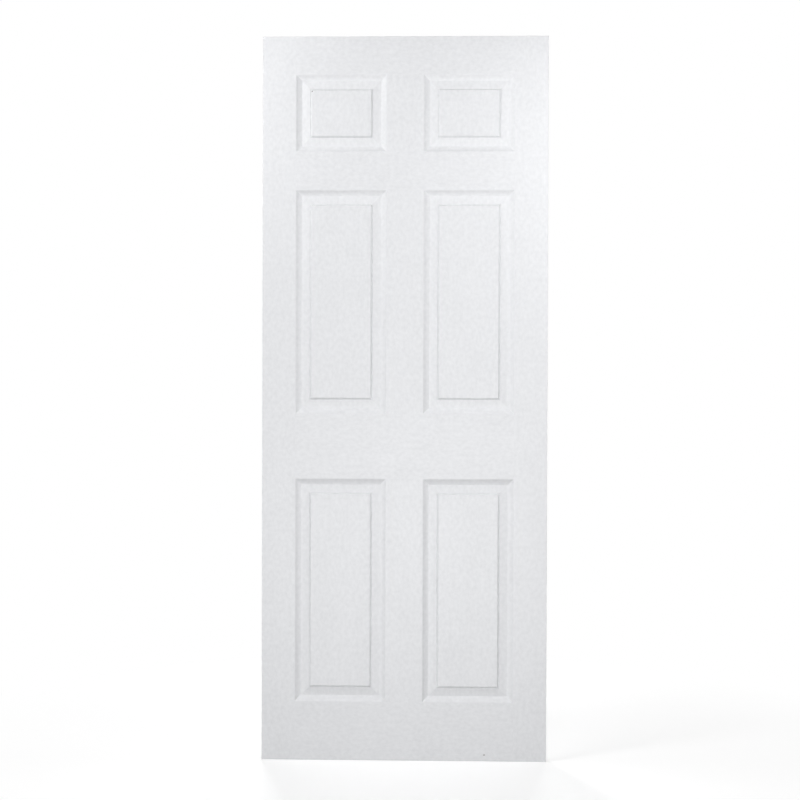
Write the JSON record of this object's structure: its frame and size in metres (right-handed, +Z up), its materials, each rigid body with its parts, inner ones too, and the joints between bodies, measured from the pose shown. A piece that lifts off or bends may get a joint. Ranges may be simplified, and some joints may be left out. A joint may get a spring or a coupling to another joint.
{
  "type": "six-panel interior door leaf",
  "caption": "Blank hollow-core interior door leaf with moulded raised-panel skins over a light timber frame, primed white, hung by its long edge.",
  "frame": {"origin": "on the hinge edge, at its foot and at mid-thickness", "axes": "+X across the leaf from the hinge edge to the lock edge, +Y from the front face to the back face, +Z up"},
  "size_m": [0.8, 0.035, 2.032],
  "materials": {
    "primed_skin": "pressed fibreboard with an embossed grain, factory white primer, low sheen",
    "primed_timber": "softwood, planed and primed white on the long edge, bare at its ends",
    "bare_timber": "bare planed softwood",
    "block_board": "bare fibreboard, sealed inside"
  },
  "bodies": {
    "root": {"front_skin": "primed_skin", "back_skin": "primed_skin", "hinge_stile": "primed_timber", "lock_stile": "primed_timber", "top_rail": "bare_timber", "bottom_rail": "bare_timber", "hinge_side_block": "block_board", "lock_side_block": "block_board"}
  },
  "joints": []
}
